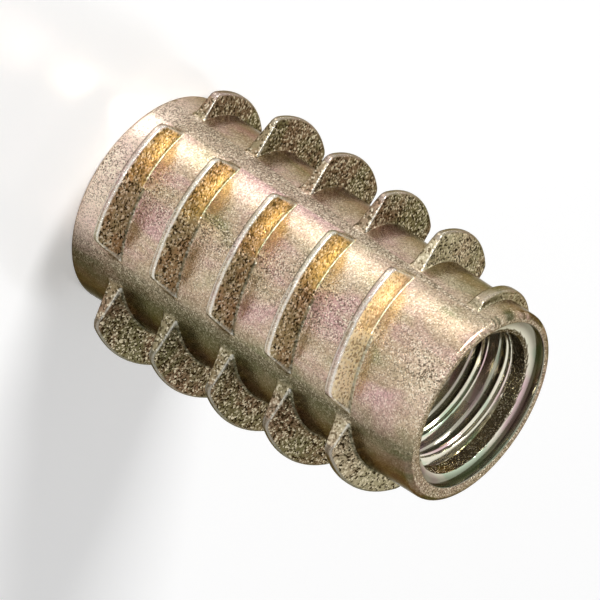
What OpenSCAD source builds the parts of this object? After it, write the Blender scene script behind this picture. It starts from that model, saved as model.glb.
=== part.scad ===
// Threaded insert: one cast sleeve with an interrupted coarse fin helix outside,
// a tapping bore at the mouth end and a hexagon socket at the drive end.
// The origin is the centre of the drive end face, and +Z runs along the axis to the mouth.
// The fins are a right-hand helix, cut into four blocks that face +X, +Y, -X and -Y.

/* [Sleeve] */
// Length from the drive end face to the mouth face
sleeve_len = 15; // [13:0.5:20]
// Outside diameter of the sleeve at the drive end
drive_end_d = 7.86; // [7.7:0.02:8.6]
// Outside diameter of the sleeve at the mouth
mouth_end_d = 6.98; // [6.8:0.02:7.6]
// Radius of the outer edge round the mouth
mouth_edge_round = 0.27; // [0.1:0.01:0.35]
// Radius of the outer edge round the drive end
drive_edge_round = 0.16; // [0.05:0.01:0.2]

/* [Thread bore] */
// Diameter of the tapping bore (M6 coarse thread)
bore_d = 5; // [4.6:0.05:5.3]
// Diameter of the countersink where it meets the mouth face
countersink_d = 5.8; // [5.4:0.05:6]
// Angle between the countersink's wall and the axis
countersink_angle = 45; // [30:1:60]

/* [Hexagon socket] */
// Width across the flats of the socket
hex_across_flats = 6; // [5.4:0.05:6.2]
// Depth of the socket from the drive end face
hex_depth = 4.6; // [4.2:0.1:6]
// Diameter of the socket's lead-in at the drive end face
hex_lead_d = 6.6; // [6.4:0.05:6.9]
// Angle between the lead-in's wall and the axis
hex_lead_angle = 45; // [30:1:60]

/* [Fins] */
// Distance from one turn of the fins to the next
fin_pitch = 2.53; // [2.3:0.01:2.8]
// Height of the first fin's middle on the +X side
first_fin_z = 1.77; // [1.5:0.01:2]
// Crest diameter of the full fins, carried down to the drive end face
crest_d_at_drive = 10.46; // [9.6:0.02:11]
// Crest diameter of the full fins, carried up to the mouth face
crest_d_at_mouth = 9.14; // [8.6:0.02:10]
// Thickness of a fin where it meets the sleeve
fin_root_w = 0.54; // [0.4:0.01:0.7]
// Thickness of a fin at its crest
fin_crest_w = 0.26; // [0.22:0.01:0.36]
// Radius of the two edges of a crest
crest_round = 0.1; // [0.05:0.01:0.1]
// Radius of the fillet between a fin and the sleeve
root_fillet = 0.08; // [0.05:0.01:0.2]
// Lowest fin that the mould forms, measured up from the sleeve
least_fin_h = 0.13; // [0.12:0.01:0.3]

/* [Fin run-in and run-out] */
// Diameter of the run-in cone at the drive end face
run_in_d = 7.36; // [7:0.02:8]
// Angle between the run-in cone and the axis
run_in_angle = 38; // [30:1:50]
// Diameter of the run-out cone at the mouth face
run_out_d = 6.72; // [6.4:0.02:7]
// Angle between the run-out cone and the axis
run_out_angle = 22.7; // [18:0.1:30]

/* [Fin blocks] */
// Width of a block of fins, measured where it leaves the drive end's surface
block_w = 4.58; // [4:0.02:4.8]
// Draft angle of a block's two sides
block_draft = 5.7; // [3:0.1:8]
// Radius of a fin's two corners, seen along the axis
corner_round = 0.42; // [0.2:0.01:0.45]

/* [Hidden] */
$fn = 96;

arc_steps = 4;
fillet_steps = 3;
// The fillet stops short of the sleeve's tangent by this angle
fillet_stop = 18;
cut_over = 0.1;
// How far a block's outline reaches past the crests
block_reach = 1;
// A corner's arc ends this far outside the crest, so that no sliver is left there
corner_lift = 0.01;
sides = 4;
turns_tried = 12;

drive_r = drive_end_d / 2;
mouth_r = mouth_end_d / 2;
bore_r = bore_d / 2;
countersink_depth = (countersink_d - bore_d) / 2 / tan(countersink_angle);
hex_corner_r = hex_across_flats / 2 / cos(30);
hex_lead_depth = (hex_lead_d - hex_across_flats) / 2 / tan(hex_lead_angle);

function sleeve_r(z) = drive_r + (mouth_r - drive_r) * z / sleeve_len;
function full_crest_r(z) =
    (crest_d_at_drive + (crest_d_at_mouth - crest_d_at_drive) * z / sleeve_len) / 2;
function run_in_r(z) = run_in_d / 2 + z * tan(run_in_angle);
function run_out_r(z) = run_out_d / 2 + (sleeve_len - z) * tan(run_out_angle);
function crest_r(z) = min(full_crest_r(z), run_in_r(z), run_out_r(z));

// Height of the fin's middle on one side, for one turn of the helix
function fin_z(side, turn) = first_fin_z + fin_pitch * (turn + side / sides);
function fin_exists(z) =
    z > fin_half_span + drive_edge_round
    && z < sleeve_len - fin_half_span - mouth_edge_round
    && crest_r(z) - sleeve_r(z) > least_fin_h;
function fin_heights(side) =
    [for (turn = [-1 : turns_tried]) if (fin_exists(fin_z(side, turn))) fin_z(side, turn)];

// Points of an arc about a centre, from one angle to another
function arc(centre, r, from, to, steps) =
    [for (i = [0 : steps]) let (turn = from + (to - from) * i / steps) centre + r * [cos(turn), sin(turn)]];

// Lead angle of the helix, taken halfway up the tallest fins
helix_tilt = atan(fin_pitch / (2 * PI * (full_crest_r(0) + mouth_r) / 2));
// Half of the length that one leaning fin takes along the axis, its fillets included
fin_half_span = fin_root_w / 2 + root_fillet + block_w / 2 * tan(helix_tilt);

// The sleeve's wall, with both outer edges rounded
module sleeve() {
    rotate_extrude()
        polygon(concat(
            [[0, 0]],
            arc([drive_r - drive_edge_round, drive_edge_round], drive_edge_round, -90, 0, arc_steps),
            arc(
                [mouth_r - mouth_edge_round, sleeve_len - mouth_edge_round],
                mouth_edge_round, 0, 90, arc_steps
            ),
            [[0, sleeve_len]]
        ));
}

// Half of a fin's section, from the sleeve's inside to the middle of the crest.
// Each point is [distance from the axis, distance from the fin's middle].
function half_fin(root_r, tip_r) =
    let (
        root_h = fin_root_w / 2,
        crest_h = fin_crest_w / 2,
        slope = atan((root_h - crest_h) / (tip_r - root_r)),
        foot = root_r + root_fillet
    )
    concat(
        [[bore_r + cut_over, root_h + root_fillet * (1 - sin(fillet_stop))]],
        arc([foot, root_h + root_fillet], root_fillet, 180 + fillet_stop, 270, fillet_steps),
        arc([tip_r - crest_round, crest_h - crest_round], crest_round, 90 - slope, 0, arc_steps)
    );

// The same points in reverse order, on the other side of the first coordinate's axis
function mirrored(points) = [for (i = [len(points) - 1 : -1 : 0]) [points[i][0], -points[i][1]]];

// One full turn of fin, leaning by the helix's lead angle on the +X side
module fin_disc(z) {
    half = half_fin(sleeve_r(z), crest_r(z));
    translate([0, 0, z])
        rotate([helix_tilt, 0, 0])
            rotate_extrude()
                polygon(concat(half, mirrored(half)));
}

// One side of a fin block seen along the axis: a drafted side that rounds into the crest
function block_side(tip_r) =
    let (
        side_normal = [sin(block_draft), cos(block_draft)],
        along_side = [cos(block_draft), -sin(block_draft)],
        side_dist = block_w / 2 * cos(block_draft) + drive_r * sin(block_draft),
        centre_dist = tip_r - corner_round + corner_lift,
        in_from_side = side_dist - corner_round,
        centre_along = sqrt(centre_dist * centre_dist - in_from_side * in_from_side),
        centre = in_from_side * side_normal + centre_along * along_side,
        crest_angle = atan2(centre[1], centre[0])
    )
    concat(
        [[0, side_dist / cos(block_draft)]],
        arc(centre, corner_round, 90 - block_draft, crest_angle, arc_steps),
        [(tip_r + block_reach) * [cos(crest_angle), sin(crest_angle)]]
    );

// The space that one fin of a block may fill
module fin_block(z) {
    half = block_side(crest_r(z));
    translate([0, 0, z - fin_pitch / 2])
        linear_extrude(height = fin_pitch)
            polygon(concat(half, mirrored(half)));
}

module fins() {
    for (side = [0 : sides - 1])
        rotate([0, 0, 360 * side / sides])
            for (z = fin_heights(side))
                intersection() {
                    fin_disc(z);
                    fin_block(z);
                }
}

// The tapping bore and the countersink at its mouth
module thread_bore() {
    translate([0, 0, hex_depth - cut_over])
        cylinder(h = sleeve_len - hex_depth + 2 * cut_over, r = bore_r);
    translate([0, 0, sleeve_len - countersink_depth])
        cylinder(
            h = countersink_depth + cut_over,
            r1 = bore_r,
            r2 = countersink_d / 2 + cut_over * tan(countersink_angle)
        );
}

// The hexagon socket, with a conical lead-in at the drive end
module hex_socket() {
    translate([0, 0, -cut_over])
        cylinder(h = hex_depth + cut_over, r = hex_corner_r, $fn = 6);
    translate([0, 0, -cut_over])
        cylinder(
            h = hex_lead_depth + cut_over,
            r1 = hex_lead_d / 2 + cut_over * tan(hex_lead_angle),
            r2 = hex_across_flats / 2
        );
}

module insert_body() {
    color("darkkhaki")
        difference() {
            union() {
                sleeve();
                fins();
            }
            thread_bore();
            hex_socket();
        }
}

insert_body();
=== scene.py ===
"""Dressed model of a die-cast threaded insert: one closed casting with helical fins and an M6 thread."""
import math
from collections import namedtuple

import bmesh
import bpy
from mathutils import Matrix, Vector, noise


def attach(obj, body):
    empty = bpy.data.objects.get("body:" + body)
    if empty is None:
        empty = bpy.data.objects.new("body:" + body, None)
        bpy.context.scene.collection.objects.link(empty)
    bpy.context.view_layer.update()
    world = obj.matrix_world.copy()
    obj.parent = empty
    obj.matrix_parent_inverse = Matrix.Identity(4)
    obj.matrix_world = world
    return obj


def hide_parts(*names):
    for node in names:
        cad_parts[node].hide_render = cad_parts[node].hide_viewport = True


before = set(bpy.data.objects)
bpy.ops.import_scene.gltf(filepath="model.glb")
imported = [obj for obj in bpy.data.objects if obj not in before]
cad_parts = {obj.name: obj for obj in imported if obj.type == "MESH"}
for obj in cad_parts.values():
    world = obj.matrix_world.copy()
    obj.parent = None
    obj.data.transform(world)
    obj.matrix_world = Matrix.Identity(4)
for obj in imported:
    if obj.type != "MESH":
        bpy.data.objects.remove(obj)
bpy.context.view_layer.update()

# Lengths are in millimetres until the finished mesh is scaled to metres.
MM = 0.001
TURN = 2 * math.pi

# Sleeve
SLEEVE_LEN = 15.0
DRIVE_R = 3.93
MOUTH_R = 3.49
MOUTH_EDGE = 0.22
DRIVE_EDGE = 0.16
EDGE_STEPS = 6
WALL_LOW = DRIVE_EDGE
WALL_HIGH = SLEEVE_LEN - MOUTH_EDGE

# Fins
PITCH = 2.53
FIRST_FIN_Z = 1.77
CREST_AT_DRIVE = 5.23
CREST_AT_MOUTH = 4.57
FULL_HEIGHT = CREST_AT_DRIVE - DRIVE_R
RUN_IN_R = 3.68
RUN_IN_SLOPE = math.tan(math.radians(38))
RUN_OUT_R = 3.36
RUN_OUT_SLOPE = math.tan(math.radians(22.7))
# The crests stand higher toward +Y than toward -Y: how far they swing, and how low the mean lies
CREST_SWING = 0.05
CREST_DROP = 0.02
HALF_ROOT = 0.27
HALF_CREST = 0.105
CREST_ROUND = 0.085
ROOT_FILLET = 0.1
UPPER_FILLET = 0.05
# A crest's edge or a fillet takes at most this share of a fin's height
ROUND_SHARE = 0.45
# A lower fin is this one pressed flat, and below the second height there is none
LEAST_HEIGHT = 0.15
LEAST_TIP = 0.02
# The middle of a fin on its block lies between these heights
LOWEST_FIN = 0.75
HIGHEST_FIN = 14.2

# Blocks of fins
BLOCK_W = 4.58
BLOCK_DRAFT = math.radians(5.7)
CORNER_ROUND = 0.42
CORNER_SHARE = 0.75
LEAST_CORNER = 0.4
EDGE_ROUND = 0.045
FOOT_ROUND = 0.07
# The columns of an end face stay this far apart where they run on over the bare sleeve
LINE_GAP = 0.03
# Nearer to the axis than this, the sides of two adjoining blocks would cross
LEAST_BLOCK_R = 3.52

# Parting plane of the mould: its distance toward -Y, and the angle from it to the columns beside it
SPLIT_Y = 0.1
SPLIT_GAP = 0.004
# How much thinner the upper half leaves a fin's root on its mouth side
HALF_STEP = 0.09
# Low ridge along the parting line: height, distance from the end edges, and waves per millimetre
SPLIT_RIDGE = 0.01
RIDGE_CLEAR = 0.2
RIDGE_WAVES = 2.3

# Columns of one eighth of a turn, from the middle of a block to the middle of a gap
FACE_COLS = 9
ARC_COLS = 4
SIDE_COL = FACE_COLS + ARC_COLS
EDGE_COL = SIDE_COL + 1
FOOT_COL = SIDE_COL + 2
ROOT_COL = SIDE_COL + 3
HALF_COLS = SIDE_COL + 5
COLS = 8 * HALF_COLS
# Rough share of the eighth that each column stands at, for the height of a fin there
FACE_SPAN = math.radians(20.5)
BLOCK_SPAN = math.radians(34)

# Rows of half a pitch: crest edge, flank, fillet, valley
CREST_ROWS = 4
FLANK_ROWS = 4
FILLET_ROWS = 3
VALLEY_ROWS = 5
FIN_ROWS = CREST_ROWS + FLANK_ROWS + FILLET_ROWS
HALF_ROWS = FIN_ROWS + VALLEY_ROWS
ROWS = 2 * HALF_ROWS

# Internal thread
THREAD_PITCH = 1.0
THREAD_MINOR = 2.5
THREAD_START = 0.35
# Thread form, in shares of the pitch: lip of the crest, end of the straight flank, then the round root
LIP = 0.12
FLANK_END = 0.22
FLANK_SLOPE = 1 / math.tan(math.radians(30))
ROOT_ROWS = 5
# The crest's seam: each row's share of the lip's width and of the seam's depth
SEAM_DEPTH = 0.07
SEAM_ROWS = ((0.0, 1.0), (0.4, 0.9), (0.8, 0.15), (1.0, 0.0))
# The lip turns into the flank at this share of its width, and this far out
LIP_TURN = 1.15
LIP_DROP = 0.012

# Mouth of the bore: a countersink whose middle lies toward -Y, a plain bore, then the thread cuts in
INNER_EDGE = 0.05
# The softened inner edge turns in two rings, the first this far out and this far below the face
INNER_RING = 0.015
SINK_R = 3.03
SINK_DEPTH = 0.2
SINK_SHIFT = 0.12
# The countersink's floor runs this far inward for each millimetre down
SINK_SLOPE = 4.0
PLAIN_R = 2.6
PLAIN_DEPTH = 0.8
# Below the plain bore the thread's crests come in and its grooves go out at these slopes
CREST_SLOPE = 2.5
GROOVE_SLOPE = 1.2
BORE_TOP = SLEEVE_LEN - INNER_EDGE
SINK_FLOOR = BORE_TOP - SINK_DEPTH
SINK_FOOT = SINK_FLOOR - (SINK_R - PLAIN_R) / SINK_SLOPE
PLAIN_FOOT = BORE_TOP - PLAIN_DEPTH
# From here up the bore has finer rows: each edge that climbs more than the least is cut so many times
OPEN_FOOT = BORE_TOP - 2.0
LEAST_CLIMB = 0.02
FINE_CUTS = 3

# Hexagon socket: half its width across flats, its depth, and its lead-in's radius at the end face
HEX_HALF = 3.0
HEX_DEPTH = 4.6
HEX_LEAD_R = 3.3

# Distances within which points, or heights, count as one
FOLDED = 2e-4
ON_PLANE = 1e-4
SAME_HEIGHT = 1e-3
# Angle that turns a ring's count, so that it starts at the column next to the parting plane
FIRST_COLUMN = 0.025
# Faces that meet at a larger angle than this are shaded as an edge
SHARP_ANGLE = math.radians(42)

# What each vertex tells the finish: sandy flank, pale edge (painted highlight in the tone of worn metal),
# golden flank (brightening toward the root as a painted reflection), painted shade line, sandy strip,
# threaded wall, and painted shade
MARKS = ("flank", "edge", "gold_and_sheen", "root", "strip", "inside", "painted_shade")
# A fin of this height has its marks in full
TALL_FIN = 0.5
# Painted highlight (pale, in the tone of worn metal) and painted shade (dark) on the rows of a crest,
# from its middle out. The keys say whether it is on the upper mould half, and on the fin's mouth side. On
# the lower half both edges are pale.
CREST_MARKS = {
    (True, True): ((0.1, 0.0), (0.6, 0.0), (1.0, 0.0), (0.3, 0.0)),
    (True, False): ((0.3, 0.0), (0.2, 0.4), (0.0, 0.9), (0.0, 0.9)),
    (False, True): ((0.0, 0.6), (0.2, 0.2), (0.9, 0.0), (0.7, 0.0)),
    (False, False): ((0.0, 0.6), (0.2, 0.2), (0.9, 0.0), (0.7, 0.9)),
}
# Crests of the blocks on the Y sides, in painted shade: how much of the painted highlight they keep, and
# how dark they are
SHADED_CREST_HIGHLIGHT = 0.35
SHADED_CREST_DARK = 0.45
# Strongest painted shade line, painted highlight on an end face's edge toward the mouth, and golden share
# next to the crest
DARKEST_SHADE = 0.9
SIDE_HIGHLIGHT = 0.9
GOLD_AT_CREST = 0.25
# The narrow sides of the blocks: how sandy they are, and how much painted shade they get on the Y sides
SIDE_SAND = 0.7
SIDE_SHADE = 0.7
# Painted shade on the bare sleeve on the +Y and -Y sides, and the sines of the angles it sets in over
SHADE_BELOW = 1.0
SHADE_ABOVE = 0.2
SHADE_START = 0.5
SHADE_SPAN = 0.24
# Painted shade on the mouth's ring face
RING_SHADE = 0.25
# Painted shade darkens the thread's grooves from this radius outward
GROOVE_SHADE_R = 2.68
# Painted shade darkens the countersink's floor over this height up to its corner, at this rate, and its
# wall is painted dark
SINK_FADE = 0.09
SINK_RATE = 1.6
# The plain bore's painted shade reaches this far past its lower and upper end
PLAIN_UNDER = 0.02
PLAIN_OVER = 0.01


def blend(a, b, t):
    return a + (b - a) * t


def on_wall(z):
    return min(max(z, WALL_LOW), WALL_HIGH)


def on_circle(r, phi, z):
    return Vector((r * math.cos(phi), r * math.sin(phi), z))


def sleeve_r(z):
    return DRIVE_R + (MOUTH_R - DRIVE_R) * z / SLEEVE_LEN


def crest_r(z, phi):
    """Radius of a fin's crest: a cone of its own, cut by the run-in and the run-out."""
    full = CREST_AT_DRIVE + (CREST_AT_MOUTH - CREST_AT_DRIVE) * z / SLEEVE_LEN
    swing = CREST_SWING * math.sin(phi) - CREST_DROP
    run_in = RUN_IN_R + z * RUN_IN_SLOPE
    run_out = RUN_OUT_R + (SLEEVE_LEN - z) * RUN_OUT_SLOPE
    return min(full + swing, run_in, run_out)


def fin_z(turn, phi):
    """Height of the middle of the fins' helix, at an angle counted on from the start of one turn."""
    return FIRST_FIN_Z + PITCH * (turn + phi / TURN)


# ---------------------------------------------------------------- helical grids

def helical_grid(pitch, rows, first_row, last_row):
    """A tube of radius 1 whose rows climb one pitch a turn, so that a row can follow a thread."""
    bm = bmesh.new()
    ends = [bm.verts.new((1, 0, pitch * row / rows)) for row in (first_row, last_row)]
    line = bm.edges.new(ends)
    bmesh.ops.subdivide_edges(bm, edges=[line], cuts=last_row - first_row - 1)
    bmesh.ops.spin(
        bm,
        geom=bm.verts[:] + bm.edges[:],
        cent=(0, 0, 0),
        axis=(0, 0, 1),
        dvec=(0, 0, pitch / COLS),
        angle=TURN,
        steps=COLS,
        use_merge=False,
        use_duplicate=False,
    )
    # the last column meets the first, one pitch up
    bmesh.ops.remove_doubles(bm, verts=bm.verts, dist=pitch / rows / 20)
    return bm


def grid_place(co, pitch, rows):
    """The column and row of a vertex of a helical grid."""
    column = round(math.atan2(co.y, co.x) / TURN * COLS) % COLS
    row = round((co.z / pitch - column / COLS) * rows)
    return column, row


def close_up(bm):
    """Merges what a clamped end has folded together."""
    bmesh.ops.remove_doubles(bm, verts=bm.verts, dist=FOLDED)
    loose = [e for e in bm.edges if not e.link_faces]
    bmesh.ops.delete(bm, geom=loose, context="EDGES")
    stray = [v for v in bm.verts if not v.link_faces]
    bmesh.ops.delete(bm, geom=stray, context="VERTS")


# ---------------------------------------------------------------- outer wall

SIDE_DIST = BLOCK_W / 2 * math.cos(BLOCK_DRAFT) + DRIVE_R * math.sin(BLOCK_DRAFT)
SIDE_NORMAL = Vector((math.sin(BLOCK_DRAFT), math.cos(BLOCK_DRAFT)))
ALONG_SIDE = Vector((math.cos(BLOCK_DRAFT), -math.sin(BLOCK_DRAFT)))

# A vertex of the outer wall: its place, its block (even ones lie on the X sides), columns away from the
# block's middle, rows down from the crest's middle, height of the fin in its column, and whether it is on
# the fin's mouth side and on the upper mould half
WallPoint = namedtuple("WallPoint", "place block away down height mouthward upper")


def side_angle(r):
    """Where the drafted side of a block stands at one radius, as an angle from the block's middle."""
    point = SIDE_DIST * SIDE_NORMAL + math.sqrt(r * r - SIDE_DIST * SIDE_DIST) * ALONG_SIDE
    return math.atan2(point.y, point.x)


def corner_arc(base, tip, t):
    """Radius and angle of a point on a fin's rounded corner: t is 0 at the crest and 1 on the side."""
    rnd = min(CORNER_ROUND, CORNER_SHARE * tip)
    inner = SIDE_DIST - rnd
    reach = base + tip - rnd
    centre = inner * SIDE_NORMAL + math.sqrt(reach * reach - inner * inner) * ALONG_SIDE
    start = math.atan2(centre.y, centre.x)
    turn = blend(start, math.pi / 2 - BLOCK_DRAFT, t)
    point = centre + rnd * Vector((math.cos(turn), math.sin(turn)))
    return point.length, math.atan2(point.y, point.x)


def fin_profile(height, root, round_root):
    """Half of a fin's section, from crest to valley: each row's height and its distance aside."""
    work = max(height, LEAST_HEIGHT)
    edge = min(CREST_ROUND, ROUND_SHARE * work)
    fillet = min(round_root, ROUND_SHARE * work)
    half_tip = blend(root, HALF_CREST, work / FULL_HEIGHT)
    foot = blend(root, HALF_CREST, fillet / FULL_HEIGHT)
    points = [(work, 0.0)]
    for i in range(CREST_ROWS):
        turn = math.pi / 2 * (1 - i / (CREST_ROWS - 1))
        points.append((work - edge + edge * math.sin(turn), half_tip - edge + edge * math.cos(turn)))
    for i in range(1, FLANK_ROWS + 1):
        t = i / FLANK_ROWS
        points.append((blend(work - edge, fillet, t), blend(half_tip, foot, t)))
    for i in range(1, FILLET_ROWS + 1):
        turn = math.pi / 2 * i / FILLET_ROWS
        points.append((fillet - fillet * math.sin(turn), foot + fillet - fillet * math.cos(turn)))
    for i in range(1, VALLEY_ROWS + 1):
        points.append((0.0, blend(foot + fillet, PITCH / 2, i / VALLEY_ROWS)))
    return [(h * height / work, aside) for h, aside in points]


def upward(block):
    """Which way the columns of a block on an X side count toward the upper mould half."""
    return -1 if block % 4 == 0 else 1


def is_upper(block, column):
    """True on the upper mould half, the one on the -Y side of the parting plane."""
    if block % 2:
        return block % 4 == 3
    return column * upward(block) >= 1


def on_split(block, column):
    """True for the two columns that hug the parting plane."""
    return block % 2 == 0 and column in (0, upward(block))


def face_angle(block, column, span):
    """Angle of a column on a block's broad face. On the X sides two columns hug the parting plane."""
    if block % 2:
        return span * column / FACE_COLS
    above = upward(block)
    split = above * SPLIT_Y / DRIVE_R
    if is_upper(block, column):
        return blend(split + above * SPLIT_GAP, above * span, (abs(column) - 1) / (FACE_COLS - 1))
    return blend(split - above * SPLIT_GAP, -above * span, abs(column) / FACE_COLS)


def rough_angle(away):
    """About where a column stands, as an angle from its block's middle."""
    if away <= FACE_COLS:
        return FACE_SPAN * away / FACE_COLS
    return blend(FACE_SPAN, BLOCK_SPAN, min(1.0, (away - FACE_COLS) / ARC_COLS))


def fin_point(away, down, tip, corner, base, smooth):
    """A point's height, its distance aside from the fin's middle, its inset, and the fin's height."""
    there = tip > LEAST_TIP
    height = tip
    if there and away > FACE_COLS:
        t = min(1.0, (away - FACE_COLS) / ARC_COLS)
        height = min(tip, corner_arc(base, corner, t)[0] - base)
    root = HALF_ROOT - (HALF_STEP if smooth else 0.0)
    fillet = UPPER_FILLET if smooth else ROOT_FILLET
    h, aside = fin_profile(height if there else 1.0, root, fillet)[down]
    if not there:
        return 0.0, aside, 0.0, 0.0
    # rounding of the two long edges of an end face, fading out into the root fillet
    ease = min(1.0, aside / HALF_CREST) * min(1.0, h / ROOT_FILLET)
    inset = EDGE_ROUND * ease if away == SIDE_COL else 0.0
    if away >= EDGE_COL:
        aside -= EDGE_ROUND * ease
        if down <= CREST_ROWS:
            h = max(0.0, h - EDGE_ROUND)
    if away == FOOT_COL:
        h = min(h, FOOT_ROUND)
    elif away > FOOT_COL:
        h = 0.0
    return h, aside, inset, height


def column_angle(block, column, base, corner, h, inset):
    """Angle from the block's middle of the point of a column that stands h above the sleeve."""
    away = abs(column)
    if away <= FACE_COLS:
        return face_angle(block, column, corner_arc(base, corner, 0)[1])
    if away <= SIDE_COL:
        t = (away - FACE_COLS) / ARC_COLS
        end_r, end = corner_arc(base, corner, 1)
        widen = max(0.0, side_angle(base + h) - end) if base + h < end_r else 0.0
        apart = t * t * (FOOT_COL - SIDE_COL) * LINE_GAP * (1 - min(1.0, h / ROOT_FILLET))
        angle = corner_arc(base, corner, t)[1] + t * widen - (inset + apart) / base
    elif away <= FOOT_COL:
        apart = (FOOT_COL - away) * LINE_GAP * (1 - min(1.0, h / FOOT_ROUND))
        angle = side_angle(base + h) - apart / base
    else:
        foot = side_angle(base) + FOOT_ROUND / base
        angle = blend(foot, TURN / 8, (away - ROOT_COL) / (HALF_COLS - ROOT_COL))
    return math.copysign(angle, column)


def wall_point(grid_column, grid_row):
    """Where a vertex of the outer grid lies on the casting, and what its marks depend on."""
    block = round(grid_column / (2 * HALF_COLS))
    column = grid_column - block * 2 * HALF_COLS
    away = abs(column)
    turn, row = divmod(grid_row, ROWS)
    down = abs(row - HALF_ROWS)
    mouthward = row > HALF_ROWS
    sign = 1 if mouthward else -1
    upper = is_upper(block, column)

    block_phi = block * TURN / 4
    rough_phi = block_phi + math.copysign(rough_angle(away), column)
    rough_z = fin_z(turn, rough_phi)
    base = sleeve_r(rough_z)
    tip = 0.0
    if LOWEST_FIN < fin_z(turn, block_phi) < HIGHEST_FIN:
        tip = max(0.0, crest_r(rough_z, rough_phi) - base)
    corner = max(tip, LEAST_CORNER)
    h, aside, inset, height = fin_point(away, down, tip, corner, base, mouthward and upper)

    base = max(LEAST_BLOCK_R, sleeve_r(on_wall(rough_z + sign * aside)))
    phi = block_phi + column_angle(block, column, base, corner, h, inset)
    z = on_wall(fin_z(turn, phi) + sign * aside)
    in_valley = down >= FIN_ROWS and WALL_LOW + RIDGE_CLEAR < z < WALL_HIGH - RIDGE_CLEAR
    if in_valley and on_split(block, column):
        h += SPLIT_RIDGE * (0.5 + 0.5 * noise.noise(Vector((block, 0, RIDGE_WAVES * z))))
    return WallPoint(on_circle(sleeve_r(z) + h, phi, z), block, away, down, height, mouthward, upper)


def bare_shade(co):
    """How much painted shade the bare sleeve gets: most toward +Y, a little toward -Y, and none on the X
    sides.
    """
    toward_y = co.y / math.hypot(co.x, co.y)
    most = SHADE_BELOW if toward_y > 0 else SHADE_ABOVE
    return most * min(1.0, max(0.0, (abs(toward_y) - SHADE_START) / SHADE_SPAN))


def mark_wall(v, point, mark):
    """Sets the marks of one vertex of the outer wall."""
    tall = min(1.0, point.height / TALL_FIN)
    on_y_side = point.block % 2
    if point.away < EDGE_COL and CREST_ROWS <= point.down < FIN_ROWS:
        v[mark["flank"]] = tall
        # painted shade on the flanks of the Y-side blocks
        if on_y_side:
            v[mark["painted_shade"]] = 1.0
        # golden tone on the upper mould half, brightening toward the root as a painted reflection of the
        # lit sleeve
        elif point.mouthward and point.upper:
            toward_root = (point.down - CREST_ROWS) / (FIN_ROWS - CREST_ROWS)
            v[mark["gold_and_sheen"]] = tall * blend(GOLD_AT_CREST, 1.0, toward_root)
        # painted shade along the root fillet on the lower half's mouth side
        in_fillet = point.down > FIN_ROWS - FILLET_ROWS
        if in_fillet and point.mouthward and not point.upper:
            v[mark["root"]] = DARKEST_SHADE * tall
    # crest rows: pale painted highlight and dark painted shade; the Y-side crests keep less highlight and
    # more shade
    if point.away <= SIDE_COL and point.down < CREST_ROWS:
        pale, dark = CREST_MARKS[point.upper, point.mouthward][point.down]
        if on_y_side:
            pale, dark = pale * SHADED_CREST_HIGHLIGHT, max(dark, SHADED_CREST_DARK)
        v[mark["edge"]] = pale * tall
        v[mark["root"]] = dark * tall
    # painted highlight along the end face's edge toward the mouth
    elif point.away == SIDE_COL and point.mouthward and point.down < FIN_ROWS - 1:
        v[mark["edge"]] = SIDE_HIGHLIGHT * tall
    if EDGE_COL <= point.away <= FOOT_COL and point.down < FIN_ROWS:
        v[mark["flank"]] = SIDE_SAND * tall
        # painted shade on the narrow sides of the Y-side blocks
        v[mark["painted_shade"]] = SIDE_SHADE * on_y_side
    if point.away >= ROOT_COL:
        v[mark["strip"]] = 1.0
    # painted shade on the bare sleeve toward +Y and -Y
    if v[mark["painted_shade"]] == 0:
        v[mark["painted_shade"]] = bare_shade(v.co)


def outer_wall():
    """The sleeve's wall and its blocks of fins, between the two rounded end edges."""
    first = -2 * ROWS
    last = (math.ceil(SLEEVE_LEN / PITCH) + 1) * ROWS
    bm = helical_grid(PITCH, ROWS, first, last)
    mark = {name: bm.verts.layers.float.new(name) for name in MARKS}
    for v in bm.verts:
        point = wall_point(*grid_place(v.co, PITCH, ROWS))
        v.co = point.place
        mark_wall(v, point, mark)
    close_up(bm)
    return bm


# ---------------------------------------------------------------- bore, socket and ends

def thread_profile():
    """Rows of the internal thread over one pitch: share of the pitch and radius.

    It is a formed thread, not a cut one: each crest is two lips with a shallow seam between them, and
    the root is round.
    """
    half = [(LIP * width, THREAD_MINOR + SEAM_DEPTH * depth) for width, depth in SEAM_ROWS]
    half.append((LIP * LIP_TURN, THREAD_MINOR + LIP_DROP))
    flank_r = THREAD_MINOR + (FLANK_END - LIP) * FLANK_SLOPE
    half.append((FLANK_END, flank_r))
    left = 0.5 - FLANK_END
    for i in range(1, ROOT_ROWS + 1):
        t = i / ROOT_ROWS
        half.append((FLANK_END + t * left, flank_r + left * FLANK_SLOPE * (t - t * t / 2)))
    down = [(1 - t, r) for t, r in reversed(half[1:-1])]
    return half + down


THREAD = thread_profile()
THREAD_ROWS = len(THREAD)
THREAD_ROOT_R = max(r for t, r in THREAD)


def thread_r(z, phi):
    """Radius of the threaded wall, read off the profile at one height and angle."""
    share = ((z - THREAD_START) / THREAD_PITCH - phi / TURN) % 1.0
    points = THREAD + [(1.0, THREAD[0][1])]
    for (t0, r0), (t1, r1) in zip(points, points[1:]):
        if share <= t1:
            return blend(r0, r1, (share - t0) / (t1 - t0))
    return THREAD_MINOR


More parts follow.
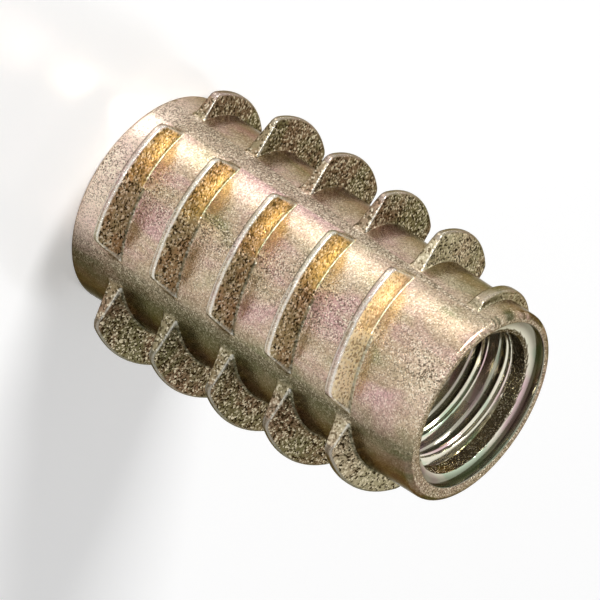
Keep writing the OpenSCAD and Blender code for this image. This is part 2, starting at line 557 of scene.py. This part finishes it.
def bore_wall():
    """The threaded wall from the socket's floor to the inner edge of the mouth."""
    first = math.floor(HEX_DEPTH / THREAD_PITCH - 2) * THREAD_ROWS
    last = math.ceil(BORE_TOP / THREAD_PITCH + 1) * THREAD_ROWS
    bm = helical_grid(THREAD_PITCH, THREAD_ROWS, first, last)
    mark = {name: bm.verts.layers.float.new(name) for name in MARKS}
    for v in bm.verts:
        column, row = grid_place(v.co, THREAD_PITCH, THREAD_ROWS)
        turn, i = divmod(row, THREAD_ROWS)
        share, r = THREAD[i]
        phi = TURN * column / COLS
        z = THREAD_START + THREAD_PITCH * (turn + share + column / COLS)
        if not HEX_DEPTH < z < BORE_TOP:
            z = min(max(z, HEX_DEPTH), BORE_TOP)
            r = thread_r(z, phi)
        v.co = on_circle(r, phi, z)
    close_up(bm)
    open_mouth(bm)
    for v in bm.verts:
        mark_bore(v, mark)
    return bm


def open_mouth(bm):
    """Shapes the first turns below the mouth, on rows fine enough for the crossing surfaces."""
    for z in (SINK_FLOOR, SINK_FOOT, PLAIN_FOOT, OPEN_FOOT):
        bmesh.ops.bisect_plane(
            bm,
            geom=bm.verts[:] + bm.edges[:] + bm.faces[:],
            dist=ON_PLANE,
            plane_co=(0, 0, z),
            plane_no=(0, 0, 1),
        )
    upright = []
    for e in bm.edges:
        low, high = sorted(v.co.z for v in e.verts)
        if low > OPEN_FOOT - SAME_HEIGHT and high - low > LEAST_CLIMB:
            upright.append(e)
    bmesh.ops.subdivide_edges(bm, edges=upright, cuts=FINE_CUTS)
    for v in bm.verts:
        if v.co.z < OPEN_FOOT:
            continue
        phi = math.atan2(v.co.y, v.co.x)
        below = max(0.0, PLAIN_FOOT - v.co.z)
        sink = SINK_R - SINK_SHIFT * math.sin(phi) - SINK_SLOPE * max(0.0, SINK_FLOOR - v.co.z)
        r = max(thread_r(v.co.z, phi), PLAIN_R - CREST_SLOPE * below)
        v.co = on_circle(max(min(r, PLAIN_R + GROOVE_SLOPE * below), sink), phi, v.co.z)


def mark_bore(v, mark):
    """Sets the marks of one vertex of the bore: painted shade in the grooves, on the plain bore and in
    the recess's corner.
    """
    v[mark["inside"]] = 1.0
    if v.co.z < PLAIN_FOOT:
        groove = (math.hypot(v.co.x, v.co.y) - GROOVE_SHADE_R) / (THREAD_ROOT_R - GROOVE_SHADE_R)
        v[mark["root"]] = DARKEST_SHADE * min(1.0, max(0.0, groove))
    if PLAIN_FOOT - PLAIN_UNDER < v.co.z < SINK_FOOT + PLAIN_OVER:
        v[mark["strip"]] = 1.0
    corner = (v.co.z - (SINK_FLOOR - SINK_FADE)) / SINK_FADE
    if corner > 0:
        v[mark["root"]] = DARKEST_SHADE * min(1.0, SINK_RATE * corner)


def rim(bm, z):
    """The open edges of a mesh that lie at one height."""
    open_edges = (e for e in bm.edges if e.is_boundary)
    return [e for e in open_edges if all(abs(v.co.z - z) < SAME_HEIGHT for v in e.verts)]


def draw_out(bm, edges, place):
    """Extrudes a rim once and moves each new vertex to where place(phi, old) says."""
    made = bmesh.ops.extrude_edge_only(bm, edges=edges)["geom"]
    for v in (g for g in made if isinstance(g, bmesh.types.BMVert)):
        phi = math.atan2(v.co.y, v.co.x)
        v.co = place(phi, v.co.copy())
    return [g for g in made if isinstance(g, bmesh.types.BMEdge)]


def draw_wider(bm, edges, reach, z):
    """Draws a rim outward by a reach, onto one height."""
    return draw_out(bm, edges, lambda phi, old: on_circle(math.hypot(old.x, old.y) + reach, phi, z))


def round_over(bm, edges, r, z, rnd, outward):
    """Draws a rim of the wall over its rounded edge and onto the flat end face."""
    for i in range(1, EDGE_STEPS + 1):
        turn = math.pi / 2 * i / EDGE_STEPS
        ring_r = r - rnd * (1 - math.cos(turn))
        ring_z = z + outward * rnd * math.sin(turn)
        edges = draw_out(bm, edges, lambda phi, old: on_circle(ring_r, phi, ring_z))
    return edges


def in_order(edges):
    """The vertices of a ring of edges, column by column."""
    ring = dict.fromkeys(v for e in edges for v in e.verts)
    return sorted(ring, key=lambda v: (math.atan2(v.co.y, v.co.x) + FIRST_COLUMN) % TURN)


def meet(bm, outer, inner):
    """Draws the outer rim in to the inner rim, column by column, and welds them. The outer marks stay."""
    outer = draw_out(bm, outer, lambda phi, old: old)
    targets = dict(zip(in_order(inner), in_order(outer)))
    for old, moved in targets.items():
        moved.co = old.co
    bmesh.ops.weld_verts(bm, targetmap=targets)


def close_mouth(bm):
    """Rounded outer edge, flat ring and softened inner edge."""
    outer = rim(bm, WALL_HIGH)
    outer = round_over(bm, outer, sleeve_r(WALL_HIGH), WALL_HIGH, MOUTH_EDGE, 1)
    inner = rim(bm, BORE_TOP)
    inner = draw_wider(bm, inner, INNER_RING, SLEEVE_LEN - INNER_RING)
    inner = draw_wider(bm, inner, INNER_EDGE - INNER_RING, SLEEVE_LEN)
    meet(bm, outer, inner)


def hexagon_r(phi):
    sector = TURN / 6
    return HEX_HALF / math.cos((phi % sector) - sector / 2)


def close_drive_end(bm):
    """Hexagon socket drawn down from the bore, its lead-in, and the flat ring."""
    hexagon = rim(bm, HEX_DEPTH)
    hexagon = draw_out(bm, hexagon, lambda phi, old: on_circle(hexagon_r(phi), phi, HEX_DEPTH))
    lead = HEX_LEAD_R - HEX_HALF
    for z in (lead, lead / 2, 0.0):
        hexagon = draw_out(
            bm,
            hexagon,
            lambda phi, old: on_circle(max(hexagon_r(phi), HEX_LEAD_R - z), phi, z),
        )
    outer = rim(bm, WALL_LOW)
    outer = round_over(bm, outer, sleeve_r(WALL_LOW), WALL_LOW, DRIVE_EDGE, -1)
    meet(bm, outer, hexagon)


def casting():
    """The whole insert as one closed mesh, in metres."""
    bm = outer_wall()
    bore = bore_wall()
    spare = bpy.data.meshes.new("bore")
    bore.to_mesh(spare)
    bore.free()
    bm.from_mesh(spare)
    bpy.data.meshes.remove(spare)
    close_mouth(bm)
    close_drive_end(bm)
    mark = bm.verts.layers.float
    # the mouth's ring face: strip tone, a little painted shade, and no painted shade line
    for v in bm.verts:
        if v.co.z > SLEEVE_LEN - SAME_HEIGHT:
            v[mark["strip"]] = 1.0
            v[mark["painted_shade"]] = RING_SHADE
            v[mark["root"]] = 0.0
    bmesh.ops.recalc_face_normals(bm, faces=bm.faces)
    bmesh.ops.scale(bm, vec=(MM, MM, MM), verts=bm.verts)
    return bm


def finished(bm, name, material):
    """Makes one visible piece of a mesh, on the part's only body."""
    mesh = bpy.data.meshes.new(name)
    bm.to_mesh(mesh)
    open_edges = sum(1 for e in bm.edges if not e.is_manifold)
    volume = bm.calc_volume() / MM ** 3
    print(f"{name}: {len(bm.faces)} faces, {open_edges} open edges, {volume:.1f} mm3")
    bm.free()
    mesh.shade_smooth()
    mesh.set_sharp_from_angle(angle=SHARP_ANGLE)
    piece = bpy.data.objects.new(name, mesh)
    bpy.context.scene.collection.objects.link(piece)
    mesh.materials.append(material)
    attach(piece, "root")
    return piece


# ---------------------------------------------------------------- finishes

# The film on the sleeve: two patchy tones, the blush, the strips, a painted highlight at the drive end,
# and painted shade toward +Y and -Y
OLIVE_SKIN = (0.475, 0.35, 0.23)
CREAM_SKIN = (0.70, 0.56, 0.405)
PINK_SKIN = (0.62, 0.40, 0.37)
GREEN_SKIN = (0.32, 0.31, 0.17)
STRIP_SKIN = (0.50, 0.40, 0.29)
LIT_DRIVE_SKIN = (0.86, 0.70, 0.61)
SHADED_GREEN_SKIN = (0.13, 0.122, 0.066)
SHADED_PINK_SKIN = (0.205, 0.142, 0.098)
SHADED_PALE_SKIN = (0.25, 0.20, 0.125)

# Sandy flanks, paler on the fins nearest the mouth as painted light, and dull on the Y sides as painted
# shade
BROWN_SAND = (0.50, 0.33, 0.18)
OLIVE_SAND = (0.46, 0.37, 0.21)
LIT_MOUTH_SAND = (1.0, 0.86, 0.58)
SHADED_GREEN_SAND = (0.165, 0.16, 0.085)
SHADED_PINK_SAND = (0.235, 0.155, 0.105)

# Golden flanks from crest to root, brightening toward the root as a painted reflection of the lit sleeve;
# the first two with their paler tones near the mouth as painted light
BROWN_GOLD = (0.47, 0.33, 0.14)
LIT_MOUTH_BROWN = (0.96, 0.78, 0.46)
CLEAR_GOLD = (0.72, 0.54, 0.23)
LIT_MOUTH_GOLD = (0.74, 0.56, 0.36)
GREEN_GOLD = (0.60, 0.66, 0.42)

# Bands of film in the threaded bore, and the plain bore darkened as painted shade
GREEN_BORE = (0.56, 0.66, 0.50)
CREAM_BORE = (0.80, 0.76, 0.62)
PINK_BORE = (0.68, 0.50, 0.50)
SHADED_PLAIN_BORE = (0.13, 0.105, 0.065)

# Pits of the sand, bright peaks of its grains as painted glints, painted shade lines, and painted
# highlight in the tone of worn metal
DARK_PIT = (0.045, 0.03, 0.012)
BROWN_PIT = (0.40, 0.26, 0.12)
PAINTED_GLINT = (1.0, 0.92, 0.74)
SHADED_GLINT = (0.90, 0.80, 0.58)
SHADE_TONE = (0.09, 0.09, 0.06)
EDGE_HIGHLIGHT = (0.76, 0.74, 0.66)

# The film darkens the metal's reflection at grazing angles
GRAZING_TINT = (0.30, 0.26, 0.16, 1)
METAL_SHARE = 0.95
# Depth of the sand in metres
SAND_DEPTH = 0.00002
# Heights between which the painted highlight at the drive end fades out, and the painted light on the
# fins nearest the mouth begins
DRIVE_LIGHT_FADE = (1.6, 0.5)
LIT_MOUTH_FINS = (11.0, 11.5)
# Reach of the rough band on each side of the parting line, and where the golden flanks set in beside it
BAND_REACH = 1.4
GOLD_REACH = (0.4, 0.8)

FLOOR_PAINT = (0.9, 0.9, 0.9, 1)
# What the floor adds to its lit paint, so that the two together are white
FLOOR_GLOW = 0.36
WHITE = (1, 1, 1, 1)


class Nodes:
    """A small helper that adds shader nodes to one tree and joins them."""

    def __init__(self, tree):
        self.tree = tree
        self.tree.nodes.clear()

    def node(self, kind, **settings):
        made = self.tree.nodes.new(kind)
        for key, value in settings.items():
            setattr(made, key, value)
        return made

    def join(self, source, target):
        self.tree.links.new(source, target)

    def put(self, socket, value):
        if isinstance(value, bpy.types.NodeSocket):
            self.join(value, socket)
        else:
            socket.default_value = value

    def put_colour(self, socket, value):
        self.put(socket, value if isinstance(value, bpy.types.NodeSocket) else (*value, 1))

    def math(self, operation, first, *others):
        """One operation on two values, or on several in a row."""
        for other in others:
            made = self.node("ShaderNodeMath", operation=operation)
            self.put(made.inputs[0], first)
            self.put(made.inputs[1], other)
            first = made.outputs[0]
        return first

    def product(self, first, *factors):
        return self.math("MULTIPLY", first, *factors)

    def largest(self, first, *others):
        return self.math("MAXIMUM", first, *others)

    def rest(self, share):
        """What a share leaves of 1."""
        return self.math("SUBTRACT", 1.0, share)

    def unsigned(self, value):
        made = self.node("ShaderNodeMath", operation="ABSOLUTE")
        self.join(value, made.inputs[0])
        return made.outputs[0]

    def mix(self, share, low, high):
        """From one colour at a share of 0 to another at 1."""
        made = self.node("ShaderNodeMix", data_type="RGBA")
        self.put(made.inputs[0], share)
        self.put_colour(made.inputs[6], low)
        self.put_colour(made.inputs[7], high)
        return made.outputs[2]

    def tone(self, share, low, high):
        """From one value or socket at a share of 0 to another at 1."""
        made = self.node("ShaderNodeMix", data_type="FLOAT")
        self.put(made.inputs[0], share)
        self.put(made.inputs[2], low)
        self.put(made.inputs[3], high)
        return made.outputs[0]

    def blend(self, share, low, high):
        """From one number at a share of 0 to another at 1, and no further."""
        made = self.node("ShaderNodeMapRange")
        self.join(share, made.inputs[0])
        made.inputs[3].default_value = low
        made.inputs[4].default_value = high
        return made.outputs[0]

    def steps(self, value, low, high, to_low=0.0, to_high=1.0):
        """A smooth step between two values."""
        made = self.node("ShaderNodeMapRange", interpolation_type="SMOOTHSTEP")
        self.put(made.inputs[0], value)
        for i, number in enumerate((low, high, to_low, to_high)):
            made.inputs[i + 1].default_value = number
        return made.outputs[0]

    def noise(self, where, scale, detail, rough, warp=0.0):
        made = self.node("ShaderNodeTexNoise")
        self.join(where, made.inputs["Vector"])
        made.inputs["Scale"].default_value = scale
        made.inputs["Detail"].default_value = detail
        made.inputs["Roughness"].default_value = rough
        made.inputs["Distortion"].default_value = warp
        return made.outputs["Fac"]

    def grains(self, where, scale):
        """Sand grains: a random tone for each one, and the distance from its middle."""
        made = self.node("ShaderNodeTexVoronoi")
        self.join(where, made.inputs["Vector"])
        made.inputs["Scale"].default_value = scale
        tone = self.node("ShaderNodeSeparateColor")
        self.join(made.outputs["Color"], tone.inputs[0])
        return tone.outputs[0], made.outputs["Distance"]

    def scaled(self, where, factors):
        made = self.node("ShaderNodeVectorMath", operation="MULTIPLY")
        self.join(where, made.inputs[0])
        made.inputs[1].default_value = factors
        return made.outputs[0]

    def mark(self, name):
        return self.node("ShaderNodeAttribute", attribute_name=name).outputs["Fac"]

    def seen(self):
        """1 for the camera and for what metal or glass shows, and 0 for light that falls on things."""
        path = self.node("ShaderNodeLightPath")
        kinds = ("Is Camera Ray", "Is Glossy Ray", "Is Transmission Ray")
        return self.largest(*(path.outputs[kind] for kind in kinds))


def new_material(name):
    material = bpy.data.materials.new(name)
    material.use_nodes = True
    return material, Nodes(material.node_tree)


def skin_colour(nodes, patches, blush, height, strip, painted_shade):
    """The sleeve's own skin: patchy, with a pink and green blush, a painted highlight at the drive end,
    and painted shade.
    """
    skin = nodes.mix(nodes.steps(patches, 0.3, 0.7), OLIVE_SKIN, CREAM_SKIN)
    skin = nodes.mix(nodes.steps(blush, 0.42, 0.68), skin, PINK_SKIN)
    skin = nodes.mix(nodes.steps(blush, 0.45, 0.25), skin, GREEN_SKIN)
    skin = nodes.mix(nodes.product(strip, 0.8), skin, STRIP_SKIN)
    # painted highlight at the drive end
    skin = nodes.mix(nodes.steps(height, *DRIVE_LIGHT_FADE, 0.0, 0.6), skin, LIT_DRIVE_SKIN)
    # painted shade tones of the skin
    shaded_skin = nodes.mix(nodes.steps(blush, 0.38, 0.62), SHADED_GREEN_SKIN, SHADED_PINK_SKIN)
    shaded_skin = nodes.mix(nodes.steps(patches, 0.5, 0.7, 0.0, 0.5), shaded_skin, SHADED_PALE_SKIN)
    return nodes.mix(painted_shade, skin, shaded_skin)


def flank_colour(nodes, patches, blush, mouth_light, gold_and_sheen, painted_shade):
    """The fins' sandy flanks: golden where the mark says so, brightening toward the root as a painted
    reflection; paler near the mouth as painted light; and dull as painted shade where that mark says so.
    """
    sand = nodes.mix(nodes.steps(patches, 0.4, 0.6), BROWN_SAND, OLIVE_SAND)
    sand = nodes.mix(mouth_light, sand, LIT_MOUTH_SAND)
    brown = nodes.mix(mouth_light, BROWN_GOLD, LIT_MOUTH_BROWN)
    clear = nodes.mix(mouth_light, CLEAR_GOLD, LIT_MOUTH_GOLD)
    # golden tone, brightening toward the root as a painted reflection
    sand = nodes.mix(nodes.steps(gold_and_sheen, 0.0, 0.25), sand, brown)
    sand = nodes.mix(nodes.steps(gold_and_sheen, 0.25, 0.75), sand, clear)
    sand = nodes.mix(nodes.steps(gold_and_sheen, 0.72, 0.85), sand, GREEN_GOLD)
    # painted shade on the sand, weaker on the mouth fins
    shaded_sand = nodes.mix(nodes.steps(blush, 0.4, 0.6), SHADED_GREEN_SAND, SHADED_PINK_SAND)
    return nodes.mix(nodes.product(painted_shade, nodes.blend(mouth_light, 0.85, 0.65)), sand, shaded_sand)


def bore_colour(nodes, at, strip):
    """The bore's smoother wall: bands of green, cream and pink film, and the plain bore darkened as
    painted shade.
    """
    sheen = nodes.noise(nodes.scaled(at, (1, 1, 9)), 0.35, 2.0, 0.5)
    film = nodes.mix(nodes.steps(sheen, 0.36, 0.46), GREEN_BORE, CREAM_BORE)
    film = nodes.mix(nodes.steps(sheen, 0.52, 0.64), film, PINK_BORE)
    # the plain bore is painted dark as shade
    return nodes.mix(strip, film, SHADED_PLAIN_BORE)


def yellow_zinc():
    """Sandy die-cast zinc under a yellow chromate with a pink and green blush."""
    material, nodes = new_material("yellow_zinc")
    at = nodes.scaled(nodes.node("ShaderNodeTexCoord").outputs["Object"], (1 / MM, 1 / MM, 1 / MM))
    along = nodes.scaled(at, (1, 1, 0.45))
    place = nodes.node("ShaderNodeSeparateXYZ")
    nodes.join(at, place.inputs[0])
    height = place.outputs[2]
    flank, edge, gold_and_sheen, root, strip, inside, painted_shade = (nodes.mark(name) for name in MARKS)

    coarse, from_middle = nodes.grains(at, 15.0)
    fine = nodes.grains(at, 24.0)[0]
    breaks = nodes.noise(at, 4.0, 2.0, 0.6)
    patches = nodes.noise(along, 0.8, 3.0, 0.55, 0.3)
    blush = nodes.noise(along, 0.6, 3.0, 0.6, 0.4)
    # painted light on the fins nearest the mouth
    mouth_light = nodes.steps(height, *LIT_MOUTH_FINS)

    # the mould's parting line leaves a rough band along the sleeve
    off_line = nodes.unsigned(nodes.math("ADD", place.outputs[1], SPLIT_Y))
    beside_line = nodes.steps(off_line, BAND_REACH, 0.0, 0.0, 0.8)
    rough_band = nodes.product(beside_line, nodes.steps(patches, 0.35, 0.6))
    sandy = nodes.largest(flank, rough_band, nodes.product(strip, 0.35))
    grain = nodes.tone(nodes.steps(flank, 0.1, 0.6), fine, coarse)
    # the golden half of a flank ends in a ragged line at the parting plane
    ragged = nodes.math("ADD", off_line, nodes.product(breaks, 0.9))
    gold_and_sheen = nodes.product(gold_and_sheen, nodes.steps(ragged, *GOLD_REACH))

    skin = skin_colour(nodes, patches, blush, height, strip, painted_shade)
    sand = flank_colour(nodes, patches, blush, mouth_light, gold_and_sheen, painted_shade)
    colour = nodes.mix(inside, nodes.mix(flank, skin, sand), bore_colour(nodes, at, strip))

    # sand grains: dark pits, and bright peaks painted as glints, coarse where the casting is sandy and
    # faint elsewhere
    calm = nodes.rest(nodes.product(inside, nodes.tone(strip, 1.0, 0.3)))
    calm = nodes.product(calm, nodes.blend(gold_and_sheen, 1.0, 0.45))
    # the mouth fins' painted light also lightens their pits
    lit_mouth_fin = nodes.product(flank, mouth_light, nodes.rest(painted_shade))
    depth = nodes.product(calm, nodes.blend(lit_mouth_fin, 1.0, 0.85), nodes.blend(sandy, 0.4, 1.0))
    pits = nodes.product(nodes.steps(grain, 0.42, 0.12), depth)
    colour = nodes.mix(pits, colour, nodes.mix(lit_mouth_fin, DARK_PIT, BROWN_PIT))
    # painted shade dims the painted glints
    shade_dim = nodes.tone(flank, nodes.blend(painted_shade, 1.0, 0.35), 0.9)
    shine = nodes.product(nodes.blend(sandy, 0.4, 0.95), calm, shade_dim)
    glints = nodes.product(nodes.steps(grain, 0.7, 0.95), shine)
    colour = nodes.mix(glints, colour, nodes.mix(painted_shade, PAINTED_GLINT, SHADED_GLINT))

    # painted shade lines
    colour = nodes.mix(nodes.product(root, 0.75), colour, SHADE_TONE)
    # painted highlight on the pale edges, in the tone of worn metal
    edge_highlight = nodes.product(edge, nodes.steps(breaks, 0.3, 0.5, 0.45, 0.9))
    colour = nodes.mix(edge_highlight, colour, EDGE_HIGHLIGHT)

    bump = nodes.node("ShaderNodeBump")
    bump.inputs["Strength"].default_value = 1.0
    bump.inputs["Distance"].default_value = SAND_DEPTH
    grain_height = nodes.math("SUBTRACT", grain, from_middle)
    nodes.join(nodes.product(nodes.blend(sandy, 0.18, 1.0), calm, grain_height), bump.inputs["Height"])

    roughness = nodes.math("SUBTRACT", nodes.blend(sandy, 0.17, 0.42), nodes.product(inside, 0.06))
    metal = nodes.node("ShaderNodeBsdfPrincipled")
    nodes.join(colour, metal.inputs["Base Color"])
    nodes.join(roughness, metal.inputs["Roughness"])
    nodes.join(bump.outputs[0], metal.inputs["Normal"])
    metal.inputs["Metallic"].default_value = METAL_SHARE
    metal.inputs["Specular Tint"].default_value = GRAZING_TINT
    nodes.join(metal.outputs[0], nodes.node("ShaderNodeOutputMaterial").inputs[0])
    return material


def studio_floor():
    """Pale satin floor that reads as white for the camera and in metal, and keeps its shadow."""
    material, nodes = new_material("studio_floor")
    paint = nodes.node("ShaderNodeBsdfPrincipled")
    paint.inputs["Base Color"].default_value = FLOOR_PAINT
    paint.inputs["Roughness"].default_value = 0.25
    paint.inputs["IOR"].default_value = 1.9
    glow = nodes.node("ShaderNodeEmission")
    glow.inputs[0].default_value = WHITE
    nodes.join(nodes.product(nodes.seen(), FLOOR_GLOW), glow.inputs[1])
    both = nodes.node("ShaderNodeAddShader")
    nodes.join(paint.outputs[0], both.inputs[0])
    nodes.join(glow.outputs[0], both.inputs[1])
    nodes.join(both.outputs[0], nodes.node("ShaderNodeOutputMaterial").inputs[0])
    return material


# ---------------------------------------------------------------- studio

# Camera: lean from the axis, roll, distance and shift of the framing, in the part's own frame
CAMERA_LEAN = math.radians(59.992)
CAMERA_ROLL = math.radians(-147.206)
CAMERA_FAR = 129.292
CAMERA_RIGHT = 5.0744
CAMERA_DOWN = 3.5172
LENS = 226.157
SENSOR_WIDTH = 36
# Nearest and farthest distance that the camera sees, in metres
CLIP = (0.005, 10)

OUT = Vector((math.sin(CAMERA_LEAN), 0, math.cos(CAMERA_LEAN)))
LEVEL = Vector((math.cos(CAMERA_LEAN), 0, -math.sin(CAMERA_LEAN)))
SIDEWAYS = Vector((0, 1, 0))
RIGHT = math.cos(CAMERA_ROLL) * LEVEL + math.sin(CAMERA_ROLL) * SIDEWAYS
UP = -math.sin(CAMERA_ROLL) * LEVEL + math.cos(CAMERA_ROLL) * SIDEWAYS

# How brightly the white surroundings light the insert, against the white that the camera and metal see
SOFT_LEVEL = 0.2
# Half of the floor's side, in metres
FLOOR_HALF = 2


def add_camera():
    data = bpy.data.cameras.new("camera")
    data.lens = LENS
    data.sensor_width = SENSOR_WIDTH
    data.clip_start, data.clip_end = CLIP
    camera = bpy.data.objects.new("camera", data)
    bpy.context.scene.collection.objects.link(camera)
    turn = Matrix((RIGHT, UP, OUT)).transposed().to_4x4()
    spot = (OUT * CAMERA_FAR + RIGHT * CAMERA_RIGHT - UP * CAMERA_DOWN) * MM
    camera.matrix_world = Matrix.Translation(spot) @ turn
    bpy.context.scene.camera = camera


def toward(azimuth, elevation):
    """A direction in the part's frame: degrees from +X toward +Y, and degrees above the floor."""
    turn, rise = math.radians(azimuth), math.radians(elevation)
    return Vector((math.cos(turn) * math.cos(rise), math.sin(turn) * math.cos(rise), math.sin(rise)))


def add_lamp(name, azimuth, elevation, far, size, level):
    """A soft box, at a distance and of a size in metres, that looks level times as bright as white."""
    data = bpy.data.lights.new(name, "AREA")
    data.shape = "RECTANGLE"
    data.size, data.size_y = size
    data.energy = level * math.pi * size[0] * size[1]
    lamp = bpy.data.objects.new(name, data)
    bpy.context.scene.collection.objects.link(lamp)
    middle = Vector((0, 0, SLEEVE_LEN / 2 * MM))
    spot = toward(azimuth, elevation) * far
    turn = spot.to_track_quat("Z", "Y").to_matrix().to_4x4()
    lamp.matrix_world = Matrix.Translation(middle + spot) @ turn


def add_world():
    """White for the camera and in metal, and a plain soft level as light on the insert."""
    world = bpy.data.worlds.new("studio")
    world.use_nodes = True
    nodes = Nodes(world.node_tree)
    back = nodes.node("ShaderNodeBackground")
    back.inputs[0].default_value = WHITE
    nodes.join(nodes.blend(nodes.seen(), SOFT_LEVEL, 1.0), back.inputs[1])
    nodes.join(back.outputs[0], nodes.node("ShaderNodeOutputWorld").inputs[0])
    bpy.context.scene.world = world


def add_floor():
    bm = bmesh.new()
    bmesh.ops.create_grid(bm, x_segments=1, y_segments=1, size=FLOOR_HALF)
    mesh = bpy.data.meshes.new("floor")
    bm.to_mesh(mesh)
    bm.free()
    floor = bpy.data.objects.new("floor", mesh)
    mesh.materials.append(studio_floor())
    bpy.context.scene.collection.objects.link(floor)


insert = finished(casting(), "cast_insert", yellow_zinc())
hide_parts("insert_body")

add_floor()
add_world()
add_camera()
add_lamp("key_box", azimuth=-60, elevation=33, far=0.4, size=(0.14, 0.14), level=22)
bpy.context.scene.view_settings.view_transform = "Standard"
